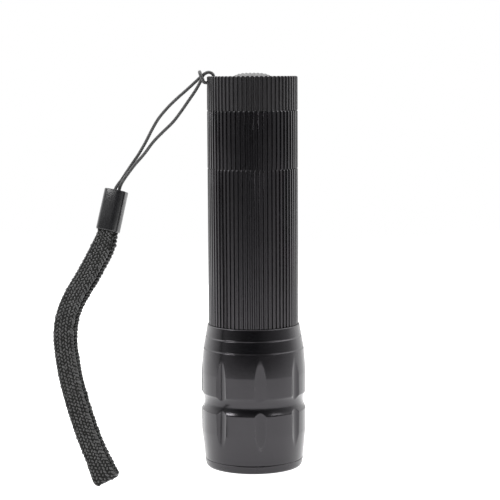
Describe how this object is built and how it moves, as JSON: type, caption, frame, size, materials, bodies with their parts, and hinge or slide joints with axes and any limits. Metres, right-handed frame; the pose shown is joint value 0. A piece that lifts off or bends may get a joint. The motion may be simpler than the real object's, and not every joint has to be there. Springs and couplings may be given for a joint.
{
  "type": "zoom flashlight",
  "caption": "Black aluminium zoom flashlight with a sliding fluted head, a ribbed barrel, a screw-on tail with a push-button switch, and a knitted wrist lanyard.",
  "frame": {"origin": "middle of the bezel's front face, on the surface that the flashlight stands on", "axes": "+Z along the flashlight's axis from the bezel to the tail switch; +X to the right and the lanyard on -X, seen from -Y as in the picture"},
  "size_m": [0.0743, 0.0473, 0.1191],
  "materials": {
    "black_anodised": "satin black anodised",
    "bare_aluminium": "turned",
    "lens_glass": "polished clear",
    "black_rubber": "matt",
    "white_board": "white solder mask",
    "phosphor": "matt yellow",
    "clear_silicone": "clear",
    "lead_red": "insulated wire",
    "green_board": "green solder mask",
    "chip_black": "moulded",
    "contact_brass": "plated",
    "cartridge_plastic": "moulded black",
    "steel": "zinc plated",
    "cell_wrap": "plain shrink wrap",
    "white_plastic": "moulded",
    "cord_grey": "braided cord",
    "sleeve_plastic": "satin",
    "strap_knit": "knitted"
  },
  "bodies": {
    "zoom_head": {"head_shell": "black_anodised", "bezel_ring": "black_anodised", "lens": "lens_glass", "lens_gasket": "black_rubber"},
    "neck_seals": {"neck_o_ring_front": "black_rubber", "neck_o_ring_rear": "black_rubber"},
    "barrel": {"barrel": "black_anodised", "led_pill": "bare_aluminium", "led_board": "white_board", "led_emitter": "phosphor", "led_dome": "clear_silicone", "led_leads": "lead_red", "driver_board": "green_board", "driver_parts": "chip_black", "driver_spring": "contact_brass", "cartridge_body": "cartridge_plastic", "cartridge_end": "cartridge_plastic", "cartridge_screws": "steel", "front_contact": "contact_brass", "front_link": "contact_brass", "rear_contact": "contact_brass", "rear_link": "contact_brass", "cell_springs": "steel", "aaa_cell_1": "cell_wrap", "aaa_cell_2": "cell_wrap", "aaa_cell_3": "cell_wrap"},
    "tail_seal": {"tail_o_ring": "black_rubber"},
    "tail": {"tail_collar": "black_anodised", "tail_cap": "black_anodised", "tail_spring": "contact_brass", "switch_board": "green_board", "switch_retainer": "bare_aluminium", "switch_body": "chip_black", "switch_spring": "steel", "switch_boot": "black_rubber", "lanyard_cord": "cord_grey", "lanyard_sleeve": "sleeve_plastic", "wrist_strap": "strap_knit"},
    "button": {"switch_plunger": "white_plastic"}
  },
  "joints": [
    {"name": "head_zoom", "type": "slide", "parent": "zoom_head", "child": "neck_seals", "axis": [0, 0, 1], "range_m": [0, 0.0095]},
    {"name": "head_turn", "type": "hinge", "parent": "neck_seals", "child": "barrel", "pos_m": [0, 0, 0.0287], "axis": [0, 0, 1], "continuous": true},
    {"name": "tail_turn", "type": "hinge", "parent": "barrel", "child": "tail_seal", "pos_m": [0, 0, 0.0916], "axis": [0, 0, 1], "range_deg": [0, 2160]},
    {"name": "tail_lift", "type": "slide", "parent": "tail_seal", "child": "tail", "axis": [0, 0, 1], "range_m": [0, 0.006]},
    {"name": "button_press", "type": "slide", "parent": "tail", "child": "button", "axis": [0, 0, -1], "range_m": [0, 0.0015], "stiffness_N_per_m": 1500, "springref_m": -0.0005, "deforming": ["switch_boot", "switch_spring"]}
  ],
  "couplings": [
    {"joint": "tail_turn", "follows": "tail_lift", "rad_per_m": 6283.2}
  ]
}
